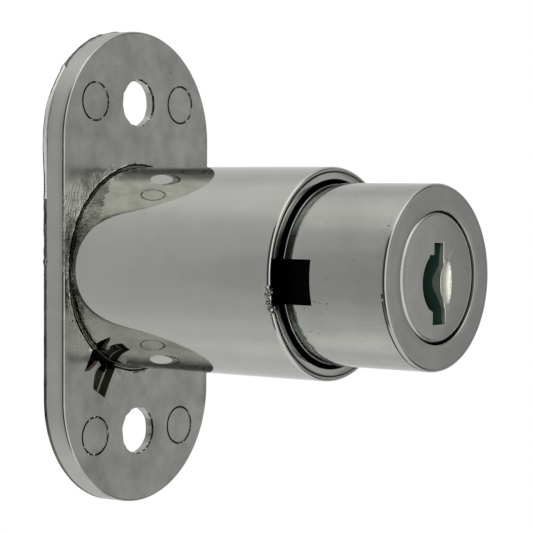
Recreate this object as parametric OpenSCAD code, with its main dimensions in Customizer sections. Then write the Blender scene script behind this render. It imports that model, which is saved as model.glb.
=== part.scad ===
// Sliding door push lock: a flanged die-cast housing with a key-operated plunger.
// The origin is the centre of the flange's front seating face.
// +Z is up and the lock's nose points along -Y.
// Heights h below are distances in front of that seating face.

/* [Flange] */
// Length of the flange plate, up and down
plate_len = 51.6; // [48:0.2:60]
// Width of the flange plate
plate_w = 24.0; // [23.6:0.2:30]
// Depth of the plate's rim
plate_t = 2.9; // [2.6:0.1:4]
// Thickness of the plate's thin face wall
face_t = 1.05; // [0.8:0.05:1.4]
// Width of the rim that stiffens the hollow back
rim_w = 1.5; // [1:0.1:2.5]
// Radius on the plate's front edge
plate_edge_r = 0.35; // [0.1:0.05:0.6]
// Distance between the two screw holes
screw_gap = 36.0; // [34:0.5:40]
// Diameter of each screw hole
screw_d = 5.0; // [4:0.1:5.6]
// Diameter of the four ejector marks
mark_d = 4.2; // [3:0.1:5]
// Sideways distance of an ejector mark from the middle
mark_x = 7.0; // [6:0.1:7.6]
// Depth of an ejector mark
mark_depth = 0.08; // [0.04:0.01:0.2]

/* [Tube] */
// Width of the plate's strip on each side of the tube
side_strip = 1.0; // [0.9:0.05:1.6]
// Length of the tube in front of the flange
tube_len = 26.6; // [26:0.2:34]
// Width of the lip round the mouth
lip_w = 1.35; // [1.1:0.05:1.5]
// Radius on the tube's front edge
tube_edge_r = 0.3; // [0.2:0.05:0.6]
// Width of the guide groove, seen as a notch in the lip
groove_w = 4.75; // [4.7:0.05:6]
// Wall left outside that notch
notch_wall = 0.45; // [0.4:0.05:0.9]
// Angle of the groove round the tube, from +X towards +Z
groove_angle = 182.8; // [175:0.1:190]

/* [Foot slot] */
// Width of the casting slot beside the tube's foot
slot_w = 2.2; // [1.5:0.1:2.6]
// How far the slot reaches from the axis
slot_reach = 14.8; // [13.5:0.1:15.5]
// Where the slot's outer end lies round the axis, from +X towards +Z
slot_angle = 245.5; // [235:0.5:255]
// How far the slot leans away from a spoke
slot_lean = 5; // [0:0.5:8]
// Thickness of the floor behind the slot
slot_floor = 0.6; // [0.4:0.1:1]

/* [Plunger] */
// Length of the stroke
travel = 10.0; // [8:0.1:10.2]
// Gap between the head and the mouth
head_gap = 0.3; // [0.2:0.05:0.4]
// How far the head's face stands in front of the tube's rim
head_out = 12.7; // [12:0.1:16]
// Gap between the tube's rim and the head's back edge
rim_gap = 0.15; // [0.1:0.05:1.2]
// Thickness of the head's face wall
head_face_t = 1.2; // [1:0.1:1.6]
// Length of the notch in the head's back edge
notch_len = 3.6; // [2.5:0.1:4]
// Width of the notch in the head's back edge
notch_w = 4.55; // [4.5:0.05:5.5]
// Step from the head's side in to the plunger body
body_step = 1.35; // [1.3:0.05:1.4]
// Diameter of the latch bolt
bolt_d = 8.0; // [6:0.1:9]
// How far the bolt stands behind the flange at rest
bolt_out = 0.6; // [0.3:0.1:3]

/* [Cylinder core] */
// Diameter of the core
core_d = 11.2; // [11.1:0.05:11.3]
// Diameter of the core's face
core_face_d = 12.9; // [12.7:0.05:13]
// Gap between the core's face and its recess in the head
recess_gap = 0.25; // [0.15:0.05:0.4]
// Thickness of the core's face flange
core_flange_t = 1.1; // [0.9:0.05:1.15]
// Length of the core behind its face flange
core_len = 14.0; // [13.6:0.1:14.2]
// Distance from one wafer to the next
wafer_pitch = 2.2; // [2.1:0.05:2.3]
// Thickness of a wafer
wafer_t = 0.9; // [0.7:0.05:1]
// Width of a wafer
wafer_w = 6.8; // [6.6:0.05:6.9]
// How far a wafer springs out of the core
wafer_lift = 0.6; // [0.4:0.05:0.7]
// Height of the key slot
key_h = 8.05; // [7.8:0.05:8.3]

/* [Lock drive] */
// Stroke of the locking pawl
pawl_stroke = 1.3; // [1:0.05:1.3]
// Turn of the core that drives the pawl through its stroke
core_turn = 90; // [80:1:90]
// Width of the pawl
pawl_w = 5.0; // [4:0.1:6]
// Thickness of the pawl along the plunger
pawl_t = 3.1; // [2.5:0.1:3.3]
// Play between the locked pawl and its shoulder
lock_play = 0.4; // [0.2:0.05:0.6]

/* [Return spring] */
// Diameter of the spring wire
wire_d = 0.6; // [0.5:0.05:0.6]
// Number of turns
spring_turns = 3.25; // [2.5:0.25:3.25]

/* [Hidden] */

fit = 0.05;            // radial clearance of each running fit
seat = 0.03;           // clearance of each fixed fit
eps = 0.01;

wafer_count = 5;
tube_r = plate_w / 2 - side_strip;
mouth_r = tube_r - lip_w;
groove_r = tube_r - notch_wall;
head_r = mouth_r - head_gap;
body_r = head_r - body_step;
bolt_r = bolt_d / 2;
core_r = core_d / 2;
recess_r = core_face_d / 2 + recess_gap;

// Heights along the axis, with the plunger out
face_h = tube_len + head_out;               // head's face
head_back_h = tube_len + rim_gap;           // head's back edge
cap_floor_h = face_h - head_face_t;         // inside of the head's face wall
core_back_h = cap_floor_h - core_len;       // back end of the core
cam_t = 1.4;
cam_front_h = core_back_h - fit;
cam_back_h = cam_front_h - cam_t;
pawl_front_h = cam_back_h - 0.15;
pawl_back_h = pawl_front_h - pawl_t;
land_front_h = head_back_h - travel - 0.3;  // shoulder that stops the push
land_back_h = pawl_front_h - travel + lock_play;
land_r = body_r + fit;
ring_t = 1.0;
ring_front_h = land_back_h - 0.1;
ring_back_h = ring_front_h - ring_t;
ring_groove_depth = 1.05;
ring_groove_r = body_r - ring_groove_depth;
neck_step = 1.3;
neck_r = body_r - neck_step;                // the body's thinner rear end
neck_len = 1.2;
washer_t = 0.4;
washer_back_h = ring_back_h - seat - washer_t;
body_back_h = washer_back_h - neck_len;
chamber_wall = 1.5;
chamber_r = tube_r - chamber_wall;          // spring chamber behind the land
ring_gap = 0.3;
ring_r = chamber_r - ring_gap;
cap_wall = 0.8;
cap_r = tube_r - cap_wall;                  // rear counterbore
cap_t = 1.0;
cap_depth = 1.4;
cap_front_h = cap_depth - plate_t;
foot_line_w = 0.25;                         // witness line round the tube's foot
foot_line_depth = 0.12;
mouth_chamfer = 0.12;
head_edge_r = 0.32;
recess_edge_r = 0.12;
core_edge_r = 0.5;
band_len = 1.45;                            // turned band behind the head
band_depth = 0.12;
boss_step = 0.6;
boss_r = tube_r + boss_step;                // wall round the rear counterbore
collar_w = 1.4;                             // collar that centres the spring
collar_h = 0.9;
spring_r = (ring_r + neck_r) / 2;
bolt_front_h = land_front_h + 0.4;
key_seat = 1.0;
key_seat_r = body_r - key_seat;             // bottom of the guide key's slot
key_back_h = land_back_h + 0.4;
key_front_h = head_back_h + notch_len - 0.1;
cross_pin_r = 0.8;
cross_pin_h = (land_front_h + land_back_h) / 2;
slot_len = slot_reach - tube_r + 0.3;

// Core and wafers
core_bore_r = core_r + fit;
core_front_h = cap_floor_h + seat;
wafer_first_h = core_front_h - 2.6;
wafer_slot_t = wafer_t + 0.1;
wafer_groove_r = core_r + wafer_lift + 0.2;
wafer_groove_w = wafer_w + 0.25;
clip_t = 0.6;
clip_h = core_back_h + 0.35;
lug_h = 0.8;
lug_x = 4.7;
coil_x = 4.05;
coil_r = 0.5;
coil_wire_r = 0.12;
coil_low = 2.85;
pocket_len = 2.6;

// Key slot
key_mid = -0.65;
key_top = key_mid + key_h / 2;
key_low = key_mid - key_h / 2;
top_arm = [-0.7, 0.95];                     // left and right side of each arm
low_arm = [-0.9, 1.3];
bulge_r = 3.25;
bulge_left = -2.75;
bulge_right = 0.4;
bulge_mid = -0.5;
bulge_top = 2.0;                            // where the bow meets each arm
bulge_low = -3.3;
ledge = 0.8;                                // step where the bow meets an arm
ledge_h = 0.3;

// Dish beside the key slot, cut by a form tool that rolls over the face
dish_at = [1.45, -0.5];
dish_half_w = 0.96;
dish_half_h = 2.4;
dish_depth = 0.38;
dish_tool_r = (dish_half_w * dish_half_w + dish_depth * dish_depth) / (2 * dish_depth);
dish_path_r = (dish_half_h * dish_half_h + dish_depth * dish_depth) / (2 * dish_depth);

// Cam and pawl
pawl_tip = body_r - 0.1;
pawl_tail = -3.8;
pawl_slope = 1.2;
pin_r = 0.8;
pin_x = 2.6;
pin_floor = 0.8;                            // left of the pawl under its pin
tail_w = 2.3;

// Turns local z, the height in front of the flange, towards -Y
module nose_up() {
  rotate([90, 0, 0]) children();
}

// Disc, rod or hole from height h0 to height h1
module rod(r, h0, h1, fn = 96) {
  translate([0, 0, min(h0, h1)]) cylinder(r = r, h = abs(h1 - h0), $fn = fn);
}

module ring(r_out, r_in, h0, h1) {
  difference() {
    rod(r_out, h0, h1);
    rod(r_in, min(h0, h1) - eps, max(h0, h1) + eps);
  }
}

// Bar that reaches from radius r0 to radius r1 along the direction of angle a
module spoke(a, r0, r1, w, h0, h1) {
  rotate([0, 0, a]) translate([r0, -w / 2, min(h0, h1)]) cube([r1 - r0, w, abs(h1 - h0)]);
}

// Stadium outline, with semicircular ends, drawn inwards from the plate's edge
module stadium(inset = 0) {
  half = (plate_len - plate_w) / 2;
  for (s = [-1, 1]) translate([0, s * half]) circle(r = plate_w / 2 - inset, $fn = 96);
  square([plate_w - 2 * inset, 2 * half], center = true);
}

// Plate whose front edge is rounded in steps: each layer is a little narrower and taller
module plate_solid() {
  steps = 3;
  translate([0, 0, -plate_t]) {
    linear_extrude(plate_t - plate_edge_r) stadium();
    for (i = [1 : steps])
      linear_extrude(plate_t - plate_edge_r * (1 - sin(90 * i / steps)))
        stadium(plate_edge_r * (1 - cos(90 * (i - 0.5) / steps)));
  }
}

module tube_profile() {
  r = tube_edge_r;
  polygon([
    [0, -plate_t], [boss_r, -plate_t], [boss_r, -face_t], [tube_r, -face_t],
    for (i = [0 : 6]) [
      tube_r - r + r * cos(15 * i),
      tube_len - r + r * sin(15 * i)
    ],
    [0, tube_len]
  ]);
}

module housing() {
  color("#8c8d88") nose_up() difference() {
    union() {
      difference() {
        plate_solid();
        // hollow back behind the thin face
        translate([0, 0, -plate_t - eps])
          linear_extrude(plate_t - face_t + eps) stadium(rim_w);
      }
      rotate_extrude($fn = 128) tube_profile();
      // thick place behind the casting slot
      slot_place() translate([-slot_len, -slot_w / 2 - 1.6, -plate_t])
        cube([slot_len + 1, slot_w + 2.4, plate_t - face_t / 2]);
    }
    // dark witness line round the tube's foot
    ring(tube_r + foot_line_w, tube_r, -foot_line_depth, eps);
    // wide front bore, guide land, spring chamber and rear seat
    rod(mouth_r, land_front_h, tube_len + 1);
    translate([0, 0, tube_len - mouth_chamfer])
      cylinder(r1 = mouth_r, r2 = mouth_r + 2 * mouth_chamfer, h = 2 * mouth_chamfer, $fn = 96);
    rod(land_r, land_back_h - 1, land_front_h + 1);
    rod(chamber_r, cap_front_h - eps, land_back_h);
    rod(cap_r, -plate_t - 1, cap_front_h);
    // guide groove for the key
    spoke(groove_angle, 0, groove_r, groove_w, land_front_h, tube_len + 1);
    spoke(groove_angle, 0, chamber_r - 0.1, groove_w, land_back_h - 1, land_front_h + 1);
    // screw holes and ejector marks
    for (s = [-1, 1]) {
      translate([0, s * screw_gap / 2, 0]) rod(screw_d / 2, -plate_t - 1, 1, 48);
      for (t = [-1, 1])
        translate([t * mark_x, s * screw_gap / 2, 0]) rod(mark_d / 2, -mark_depth, 1, 48);
    }
    foot_slot();
  }
}

// Puts the slot's outer end at the origin, with the slot along -X
module slot_place() {
  rotate([0, 0, slot_angle]) translate([slot_reach, 0, 0]) rotate([0, 0, -slot_lean]) children();
}

// Blind casting slot beside the tube's foot, with a wedge-shaped opening next to it
module foot_slot() {
  // distance from the tube's wall and angle before the slot's end, for each corner
  wedge = [[0.1, 14.5], [2.9, 12.5], [1.2, 8.5], [1.2, 3], [0.1, 3]];
  difference() {
    union() {
      slot_place() translate([-slot_len, -slot_w / 2, slot_floor - plate_t])
        cube([slot_len, slot_w, plate_t + 1]);
      translate([0, 0, slot_floor - plate_t]) linear_extrude(plate_t + 1) polygon([
        for (c = wedge) (tube_r + c[0]) * [cos(slot_angle - c[1]), sin(slot_angle - c[1])]
      ]);
    }
    rod(tube_r, 0, 2);
  }
}

module rear_cap() {
  color("#77796f") nose_up() difference() {
    union() {
      rod(cap_r - fit, cap_front_h - cap_t, cap_front_h);
      // collar that centres the spring
      rod(bolt_r + collar_w, cap_front_h - cap_t, cap_front_h + collar_h);
    }
    rod(bolt_r + fit, -plate_t - 1, cap_front_h + 2);
  }
}

// Closed tube swept along a helix, as one solid
module coil(mean_r, wire_r, turns, h0, h1, sides, steps) {
  n = ceil(turns * steps);
  low = min(h0, h1) + wire_r;
  high = max(h0, h1) - wire_r;
  points = [
    for (i = [0 : n]) for (k = [0 : sides - 1])
      let (a = 360 * turns * i / n, b = 360 * k / sides, r = mean_r + wire_r * cos(b))
        [r * cos(a), r * sin(a), low + (high - low) * i / n + wire_r * sin(b)]
  ];
  faces = concat(
    [[for (k = [0 : sides - 1]) k]],
    [for (i = [0 : n - 1]) for (k = [0 : sides - 1])
      let (m = (k + 1) % sides)
        [i * sides + k, (i + 1) * sides + k, (i + 1) * sides + m, i * sides + m]],
    [[for (k = [sides - 1 : -1 : 0]) n * sides + k]]
  );
  polyhedron(points = points, faces = faces, convexity = 10);
}

module return_spring() {
  color("#9a9b96") nose_up()
    coil(spring_r, wire_d / 2, spring_turns, cap_front_h + seat, washer_back_h - seat, 8, 24);
}

module spring_washer() {
  color("#b0b0ab") nose_up()
    ring(ring_r, neck_r + fit, washer_back_h, washer_back_h + washer_t);
}

module stop_ring() {
  // open retaining ring in the body's groove
  color("#3b3c3a") nose_up() difference() {
    ring(ring_r, ring_groove_r + seat, ring_back_h, ring_front_h);
    spoke(90, 0, ring_r + 1, 5, ring_back_h - 1, ring_front_h + 1);
  }
}

module head_profile() {
  r = head_edge_r;
  band_r = head_r - band_depth;
  polygon([
    [body_r + seat, head_back_h],
    [band_r - 0.2, head_back_h],
    [band_r, head_back_h + 0.2],
    [band_r, head_back_h + band_len - band_depth],
    [head_r, head_back_h + band_len],
    for (i = [0 : 5]) [head_r - r + r * cos(18 * i), face_h - r + r * sin(18 * i)],
    for (i = [0 : 3]) [
      recess_r + recess_edge_r * (1 - sin(30 * i)),
      face_h - recess_edge_r * (1 - cos(30 * i))
    ],
    [recess_r, cap_floor_h],
    [body_r + seat, cap_floor_h]
  ]);
}

module head_cap() {
  color("#9b9c97") nose_up() difference() {
    rotate_extrude($fn = 128) head_profile();
    spoke(groove_angle, 0, head_r + 1, notch_w, head_back_h - 1, head_back_h + notch_len);
  }
}

module plunger_body() {
  color("#1f211f") nose_up() difference() {
    union() {
      rod(body_r, ring_back_h, cap_floor_h - seat);
      rod(neck_r, body_back_h, ring_back_h + 1);
    }
    // groove of the retaining ring
    ring(body_r + 1, ring_groove_r, ring_back_h - seat, ring_front_h + seat);
    // bore of the core, cam chamber and four grooves for the wafers
    rod(core_bore_r, pawl_front_h + 0.05, face_h);
    for (a = [0 : 90 : 270])
      spoke(a, 0, wafer_groove_r, wafer_groove_w, core_back_h + 1.6, cap_floor_h - 1.2);
    // groove of the core's clip
    rod(core_bore_r + 0.6, clip_h - fit, clip_h + clip_t + fit);
    // guide of the locking pawl, open on the right
    translate([pawl_tail - 0.3, -pawl_w / 2 - fit, pawl_back_h - fit])
      cube([body_r + 5, pawl_w + 2 * fit, pawl_t + 0.2]);
    // slot of the guide key
    spoke(groove_angle, key_seat_r, body_r + 1, notch_w - 0.1, key_back_h - seat, key_front_h + seat);
    // bore of the latch bolt, and its cross pin
    rod(bolt_r + seat, body_back_h - 1, bolt_front_h + seat);
    cross_pin_shape(seat);
  }
}

module guide_key() {
  color("#161816") nose_up() intersection() {
    spoke(groove_angle, key_seat_r + seat, head_r, notch_w - 0.1 - 2 * seat, key_back_h, key_front_h);
    rod(chamber_r - 0.35, 0, face_h);
  }
}

module latch_bolt() {
  tip = -plate_t - bolt_out;
  chamfer = 0.8;
  color("#a7a8a4") nose_up() difference() {
    union() {
      rod(bolt_r, tip + chamfer, bolt_front_h);
      translate([0, 0, tip]) cylinder(r1 = bolt_r - chamfer, r2 = bolt_r, h = chamfer, $fn = 96);
    }
    cross_pin_shape(seat);
  }
}

module cross_pin_shape(gap = 0) {
  translate([0, 0, cross_pin_h]) rotate([90, 0, 0])
    cylinder(r = cross_pin_r + gap, h = 2 * (body_r - 0.3) + (gap > 0 ? 4 : 0), center = true, $fn = 48);
}

module cross_pin() {
  color("#c2c2bd") nose_up() difference() {
    cross_pin_shape();
    // rolled pin: hollow, with a slit
    translate([0, 0, cross_pin_h]) rotate([90, 0, 0])
      cylinder(r = cross_pin_r / 2, h = 3 * body_r, center = true, $fn = 32);
    translate([0, -2 * body_r, cross_pin_h - 0.12]) cube([cross_pin_r + 1, 4 * body_r, 0.24]);
  }
}

// Outline of the key slot: two straight arms joined by a bow to the left
module key_outline() {
  translate([top_arm[0], bulge_top - 0.1])
    square([top_arm[1] - top_arm[0], key_top - bulge_top + 0.1]);
  translate([low_arm[0], key_low])
    square([low_arm[1] - low_arm[0], bulge_low - key_low + 0.1]);
  translate([top_arm[0] - ledge, bulge_top - 0.1]) square([ledge + 1, ledge_h + 0.1]);
  intersection() {
    translate([-5, bulge_low]) square([10, bulge_top - bulge_low]);
    difference() {
      translate([bulge_r + bulge_left, bulge_mid]) circle(r = bulge_r, $fn = 72);
      translate([bulge_r + bulge_right, bulge_mid]) circle(r = bulge_r, $fn = 72);
    }
  }
}

module core_profile() {
  r = core_edge_r;
  face = cap_floor_h + seat + core_flange_t;
  polygon([
    [0, core_back_h],
    [core_r, core_back_h],
    [core_r, core_front_h],
    [core_face_d / 2, core_front_h],
    for (i = [0 : 5]) [core_face_d / 2 - r + r * cos(18 * i), face - r + r * sin(18 * i)],
    [core_face_d / 4, face + 0.05],
    [0, face + 0.07]
  ]);
}

module core_plug() {
  face = cap_floor_h + seat + core_flange_t;
  color("#a3a49f") nose_up() difference() {
    union() {
      rotate_extrude($fn = 96) core_profile();
      // square tail that carries the cam
      translate([-tail_w / 2, -tail_w / 2, cam_back_h]) cube([tail_w, tail_w, cam_t + 1]);
    }
    // key slot, from the face to the last wafer
    translate([0, 0, wafer_h(wafer_count) - 1])
      linear_extrude(face_h - wafer_h(wafer_count) + 2) key_outline();
    // polished dish that guides the key's tip into the slot
    translate([dish_at[0], dish_at[1], face + dish_path_r - dish_depth + 0.05]) rotate([0, 90, 0])
      rotate_extrude($fn = 96) translate([dish_path_r - dish_tool_r, 0]) circle(r = dish_tool_r, $fn = 48);
    // slots, spring pockets and lug slots of the wafers
    for (i = [1 : wafer_count]) wafer_place(i) {
      translate([-wafer_w / 2 - fit, -core_r - 1, -wafer_slot_t / 2])
        cube([wafer_w + 2 * fit, core_d + 2, wafer_slot_t]);
      translate([0, -lug_h / 2 - 0.05, -wafer_slot_t / 2])
        cube([lug_x + fit, lug_h + wafer_lift + 0.15, wafer_slot_t]);
      translate([coil_x, -coil_low - fit, 0]) rotate([-90, 0, 0])
        cylinder(r = coil_r + coil_wire_r, h = pocket_len, $fn = 32);
    }
    // groove of the clip
    ring(core_r + 1, core_r - 0.9, clip_h - fit, clip_h + clip_t + fit);
  }
}

function wafer_h(i) = wafer_first_h - (i - 1) * wafer_pitch;

// Odd wafers spring upwards and even ones downwards
module wafer_place(i) {
  translate([0, 0, wafer_h(i)]) rotate([0, 0, 180 * ((i + 1) % 2)]) children();
}

// Height of the window that the key's cut meets, one for each wafer
function window_h(i) = 6.3 + 0.35 * ((i * 2) % 3);

module wafer(i) {
  flip = i % 2 == 1 ? 1 : -1;
  color("#c9a24a") nose_up() wafer_place(i) translate([0, 0, -wafer_t / 2])
    linear_extrude(wafer_t) difference() {
      union() {
        intersection() {
          circle(r = core_r - 0.1, $fn = 72);
          square([wafer_w, core_d], center = true);
        }
        translate([0, -lug_h / 2]) square([lug_x, lug_h]);
      }
      translate([0, flip * key_mid * 0.6])
        square([5.0, window_h(i)], center = true);
    }
}

module wafer_1() { wafer(1); }
module wafer_2() { wafer(2); }
module wafer_3() { wafer(3); }
module wafer_4() { wafer(4); }
module wafer_5() { wafer(5); }

module wafer_springs() {
  color("#b9b9b4") nose_up() for (i = [1 : wafer_count]) wafer_place(i)
    translate([coil_x, 0, 0]) rotate([-90, 0, 0])
      coil(coil_r - coil_wire_r, coil_wire_r, 3, -coil_low, -lug_h / 2 - seat, 4, 8);
}

module core_clip() {
  color("#6f716c") nose_up() difference() {
    ring(core_bore_r + 0.5, core_r - 0.85, clip_h, clip_h + clip_t);
    spoke(-90, 0, core_r + 2, 5.2, clip_h - 1, clip_h + clip_t + 1);
  }
}

// Outline of the spiral slot, whose radius grows by the pawl's stroke while the
// core makes its turn. Each end is a half circle round the end of the middle line.
function spiral_mid(a) = pin_x + pawl_stroke * a / core_turn;
function around(a, r) = r * [cos(a), sin(a)];

module spiral_slot(half_w) {
  steps = 18;
  over = 4;
  last = core_turn + over;
  function turn(i) = -over + (core_turn + 2 * over) * i / steps;
  polygon([
    for (i = [0 : steps]) around(turn(i), spiral_mid(turn(i)) + half_w),
    for (b = [20 : 20 : 160]) around(last, spiral_mid(last)) + around(last + b, half_w),
    for (i = [steps : -1 : 0]) around(turn(i), spiral_mid(turn(i)) - half_w),
    for (b = [200 : 20 : 340]) around(-over, spiral_mid(-over)) + around(-over + b, half_w)
  ]);
}

module cam_disc() {
  color("#8f8a7c") nose_up() translate([0, 0, cam_back_h]) linear_extrude(cam_t)
    difference() {
      circle(r = core_r - 0.1, $fn = 96);
      square(tail_w + 2 * seat, center = true);
      spiral_slot(pin_r + 0.08);
    }
}

module lock_pawl() {
  color("#55564f") nose_up() difference() {
    intersection() {
      // bar with a sloping back on its tip
      translate([0, pawl_w / 2, 0]) rotate([90, 0, 0]) linear_extrude(pawl_w) polygon([
        [pawl_tail, pawl_back_h],
        [pawl_tip - pawl_slope, pawl_back_h],
        [pawl_tip + 1, pawl_back_h + pawl_slope + 1],
        [pawl_tip + 1, pawl_front_h],
        [pawl_tail, pawl_front_h]
      ]);
      rod(pawl_tip, pawl_back_h - 1, pawl_front_h + 1);
    }
    translate([pin_x, 0, 0]) rod(pin_r + seat, pawl_back_h + pin_floor, pawl_front_h + 1, 48);
  }
}

module pawl_pin() {
  color("#c6c6c1") nose_up() translate([pin_x, 0, 0])
    rod(pin_r, pawl_back_h + pin_floor + seat, cam_front_h - 0.2, 48);
}

housing();
rear_cap();
return_spring();
spring_washer();
head_cap();
plunger_body();
guide_key();
stop_ring();
latch_bolt();
cross_pin();
core_plug();
core_clip();
cam_disc();
lock_pawl();
pawl_pin();
wafer_1();
wafer_2();
wafer_3();
wafer_4();
wafer_5();
wafer_springs();
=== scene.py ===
from math import atan2, cos, degrees, exp, hypot, pi, radians, sin, sqrt

import bmesh
import bpy
from mathutils import Matrix, Vector, noise


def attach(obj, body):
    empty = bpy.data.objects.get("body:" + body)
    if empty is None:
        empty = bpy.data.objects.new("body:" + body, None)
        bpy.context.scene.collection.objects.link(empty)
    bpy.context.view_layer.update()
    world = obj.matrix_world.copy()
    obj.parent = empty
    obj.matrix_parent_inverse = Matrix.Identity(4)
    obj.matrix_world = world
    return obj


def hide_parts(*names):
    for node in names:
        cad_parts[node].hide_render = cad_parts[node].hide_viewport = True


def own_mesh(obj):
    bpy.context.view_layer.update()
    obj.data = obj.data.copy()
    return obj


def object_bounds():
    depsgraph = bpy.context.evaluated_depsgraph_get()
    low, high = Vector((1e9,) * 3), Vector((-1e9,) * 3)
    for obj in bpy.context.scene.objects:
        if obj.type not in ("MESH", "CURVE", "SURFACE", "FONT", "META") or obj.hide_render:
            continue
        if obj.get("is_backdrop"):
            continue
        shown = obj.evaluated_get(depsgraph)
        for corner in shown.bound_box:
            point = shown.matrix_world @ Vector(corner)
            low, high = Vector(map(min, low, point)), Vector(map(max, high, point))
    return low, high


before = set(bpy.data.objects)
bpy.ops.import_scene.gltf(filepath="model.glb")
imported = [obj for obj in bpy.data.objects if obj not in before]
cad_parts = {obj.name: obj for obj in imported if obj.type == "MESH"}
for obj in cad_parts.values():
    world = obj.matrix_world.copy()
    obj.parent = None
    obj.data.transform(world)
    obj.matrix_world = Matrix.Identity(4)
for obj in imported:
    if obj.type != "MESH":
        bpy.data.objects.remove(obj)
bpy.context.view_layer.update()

mm = 0.001
near = 0.03                     # mm, tolerance when a face is told which surface it's on
print("frame loaded:", len(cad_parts), "nodes")


# ---- camera ----
# lens and place measured from the outlines of plate, tube and head
camera = {
    "azimuth": -52.25,
    "elevation": 2.2,
    "roll": 0.25,
    "distance": 225.0,          # mm
    "focal": 2145.0,            # pixels, in a frame 533 wide
    "frameWidth": 533,
    "target": (0.0, -17.8, 0.56),
}


def makeCamera(c):
    az, el, roll = (radians(c[k]) for k in ("azimuth", "elevation", "roll"))
    back = Vector((sin(az) * cos(el), -cos(az) * cos(el), sin(el)))
    right = (-back).cross(Vector((0, 0, 1))).normalized()
    up = right.cross(-back)
    turnedRight = cos(roll) * right + sin(roll) * up
    turnedUp = -sin(roll) * right + cos(roll) * up
    data = bpy.data.cameras.new("camera")
    data.sensor_width = 36.0
    data.lens = c["focal"] * data.sensor_width / c["frameWidth"]
    data.clip_start, data.clip_end = 0.01, 20.0
    cam = bpy.data.objects.new("camera", data)
    bpy.context.collection.objects.link(cam)
    turn = Matrix((turnedRight, turnedUp, back)).transposed().to_4x4()
    cam.matrix_world = Matrix.Translation((Vector(c["target"]) + back * c["distance"]) * mm) @ turn
    bpy.context.scene.camera = cam


makeCamera(camera)
print("camera placed")


# ---- small helpers ----

def linear(hexText):
    parts = [int(hexText[i:i + 2], 16) / 255 for i in (1, 3, 5)]
    rgb = [p / 12.92 if p <= 0.04045 else ((p + 0.055) / 1.055) ** 2.4 for p in parts]
    return (*rgb, 1.0)


def addNode(tree, kind, settings=None, inputs=None):
    # inputs are values, outputs of other nodes, or other nodes, for their first output
    node = tree.nodes.new("ShaderNode" + kind)
    for name, value in (settings or {}).items():
        setattr(node, name, value)
    for name, value in (inputs or {}).items():
        found = [s for s in node.inputs if s.identifier == name]
        socket = found[0] if found else node.inputs[name]
        if isinstance(value, bpy.types.Node):
            value = value.outputs[0]
        if isinstance(value, bpy.types.NodeSocket):
            tree.links.new(value, socket)
        else:
            socket.default_value = value
    return node


def setRamp(node, stops):
    # stops are (place, grey level) pairs
    ramp = node.color_ramp
    while len(ramp.elements) < len(stops):
        ramp.elements.new(0.5)
    for element, (place, grey) in zip(ramp.elements, stops):
        element.position = place
        element.color = (grey, grey, grey, 1.0)
    return node


def newMaterial(name):
    material = bpy.data.materials.new(name)
    material.use_nodes = True
    material.node_tree.nodes.clear()
    return material, material.node_tree


def directRays(tree):
    # the light path, and 1 for rays that come from the camera or through something clear
    ray = addNode(tree, "LightPath")
    seen = addNode(tree, "Math", {"operation": "MAXIMUM"}, {
        0: ray.outputs["Is Camera Ray"], 1: ray.outputs["Is Transmission Ray"]})
    return ray, seen


def perMm(size):
    # pattern scale for features of that size in millimetres
    return 1.0 / (size * mm)


def lockPoint(x, y, h):
    # x across, y up, h the height in front of the flange, all in millimetres
    return Vector((x, -h, y)) * mm


def rough(x, y, z, size):
    # smooth noise from -1 to 1 with features of that size
    return noise.noise(Vector((x, y, z)) / size)


def smoothStep(t):
    t = min(max(t, 0.0), 1.0)
    return t * t * (3 - 2 * t)


def bumpAt(angle, middle, width):
    # 1 at the middle angle, falling to 0 at the width, in degrees
    away = abs((angle - middle + 180) % 360 - 180)
    return smoothStep(1 - away / width)


def newPiece(name, shape):
    data = bpy.data.meshes.new(name)
    bmesh.ops.recalc_face_normals(shape, faces=shape.faces)
    shape.to_mesh(data)
    shape.free()
    piece = bpy.data.objects.new(name, data)
    bpy.context.collection.objects.link(piece)
    return piece


def addRings(shape, rings, loop=False):
    # skin over rings of points; the ends are capped, unless the rings close on themselves
    rows = [[shape.verts.new(lockPoint(*p)) for p in ring] for ring in rings]
    pairs = list(zip(rows, rows[1:])) + ([(rows[-1], rows[0])] if loop else [])
    for a, b in pairs:
        for i in range(len(a)):
            j = (i + 1) % len(a)
            shape.faces.new((a[i], a[j], b[j], b[i]))
    if not loop:
        shape.faces.new(rows[0])
        shape.faces.new(rows[-1])


def circle(r, h, steps=96, at=(0, 0)):
    turns = [2 * pi * i / steps for i in range(steps)]
    return [(at[0] + r * cos(a), at[1] + r * sin(a), h) for a in turns]


def roundedEdge(r, h, radius, step, start=0):
    # quarter round from the side to the top, around that centre, as (radius, height) pairs
    turns = [radians(a) for a in range(start, 91, step)]
    return [(r + radius * cos(t), h + radius * sin(t)) for t in turns]


def level(outline, h):
    return [(x, y, h) for x, y in outline]


def prism(outline, h0, h1):
    return [level(outline, h0), level(outline, h1)]


def turned(points, angle, at=(0, 0)):
    c, s = cos(radians(angle)), sin(radians(angle))
    return [(at[0] + c * x - s * y, at[1] + s * x + c * y) for x, y in points]


def box(x0, x1, y0, y1):
    return [(x0, y0), (x1, y0), (x1, y1), (x0, y1)]


def widened(outline, by):
    # the outline moved outwards by that much, corner by corner
    out = []
    n = len(outline)
    for i, (x, y) in enumerate(outline):
        x0, y0 = outline[i - 1]
        x1, y1 = outline[(i + 1) % n]
        a = Vector((y - y0, x0 - x)).normalized()
        b = Vector((y1 - y, x - x1)).normalized()
        middle = a + b
        push = middle / max(middle.length_squared / 2, 0.5) * by
        out.append((x + push.x, y + push.y))
    return out


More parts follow.
